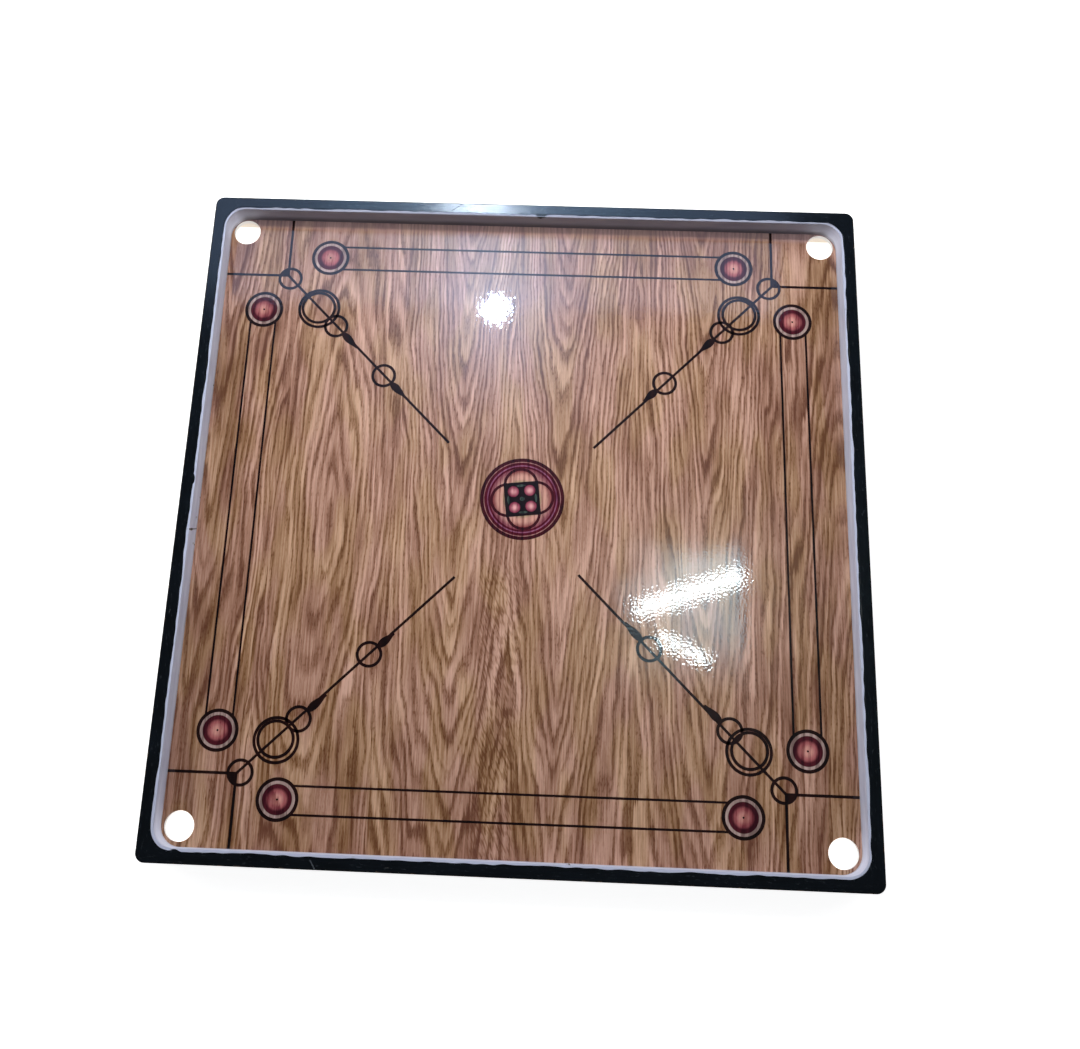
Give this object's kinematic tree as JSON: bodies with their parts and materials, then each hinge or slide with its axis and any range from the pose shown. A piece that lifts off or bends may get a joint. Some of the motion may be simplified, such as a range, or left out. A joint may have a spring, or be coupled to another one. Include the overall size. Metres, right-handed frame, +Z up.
{
  "type": "carrom board",
  "caption": "Square carrom board: glossy wood-grain face with printed lines and a corner pocket at each corner, black frame and a pale bounce liner round the walls.",
  "frame": {"origin": "middle of the underside, on the plane the rails stand on", "axes": "+Z up out of the playing face, +Y towards the far rail, +X towards the right-hand rail"},
  "size_m": [0.762, 0.762, 0.0508],
  "materials": {
    "black_paint": "brushed gloss paint over softwood, worn at the edges",
    "pale_liner": "pale blue-grey plastic strip with paint smudges on its edge",
    "printed_face": "printed oak-grain laminate with game lines under high-gloss lacquer",
    "plywood": "bare plywood",
    "batten_wood": "sawn softwood",
    "painted_nail": "steel nail painted over with the frame",
    "bright_pin": "bright steel pin"
  },
  "bodies": {
    "root": {"rail_far": "black_paint", "rail_near": "black_paint", "rail_left": "black_paint", "rail_right": "black_paint", "corner_block_far_left": "black_paint", "corner_block_far_right": "black_paint", "corner_block_near_left": "black_paint", "corner_block_near_right": "black_paint", "liner_long": "pale_liner", "liner_short": "pale_liner", "face_sheet": "printed_face", "panel": "plywood", "batten_far": "batten_wood", "batten_near": "batten_wood", "batten_left": "batten_wood", "batten_right": "batten_wood", "corner_nails": "painted_nail", "batten_nails": "painted_nail", "panel_pins": "bright_pin", "liner_pins": "bright_pin"}
  },
  "joints": []
}
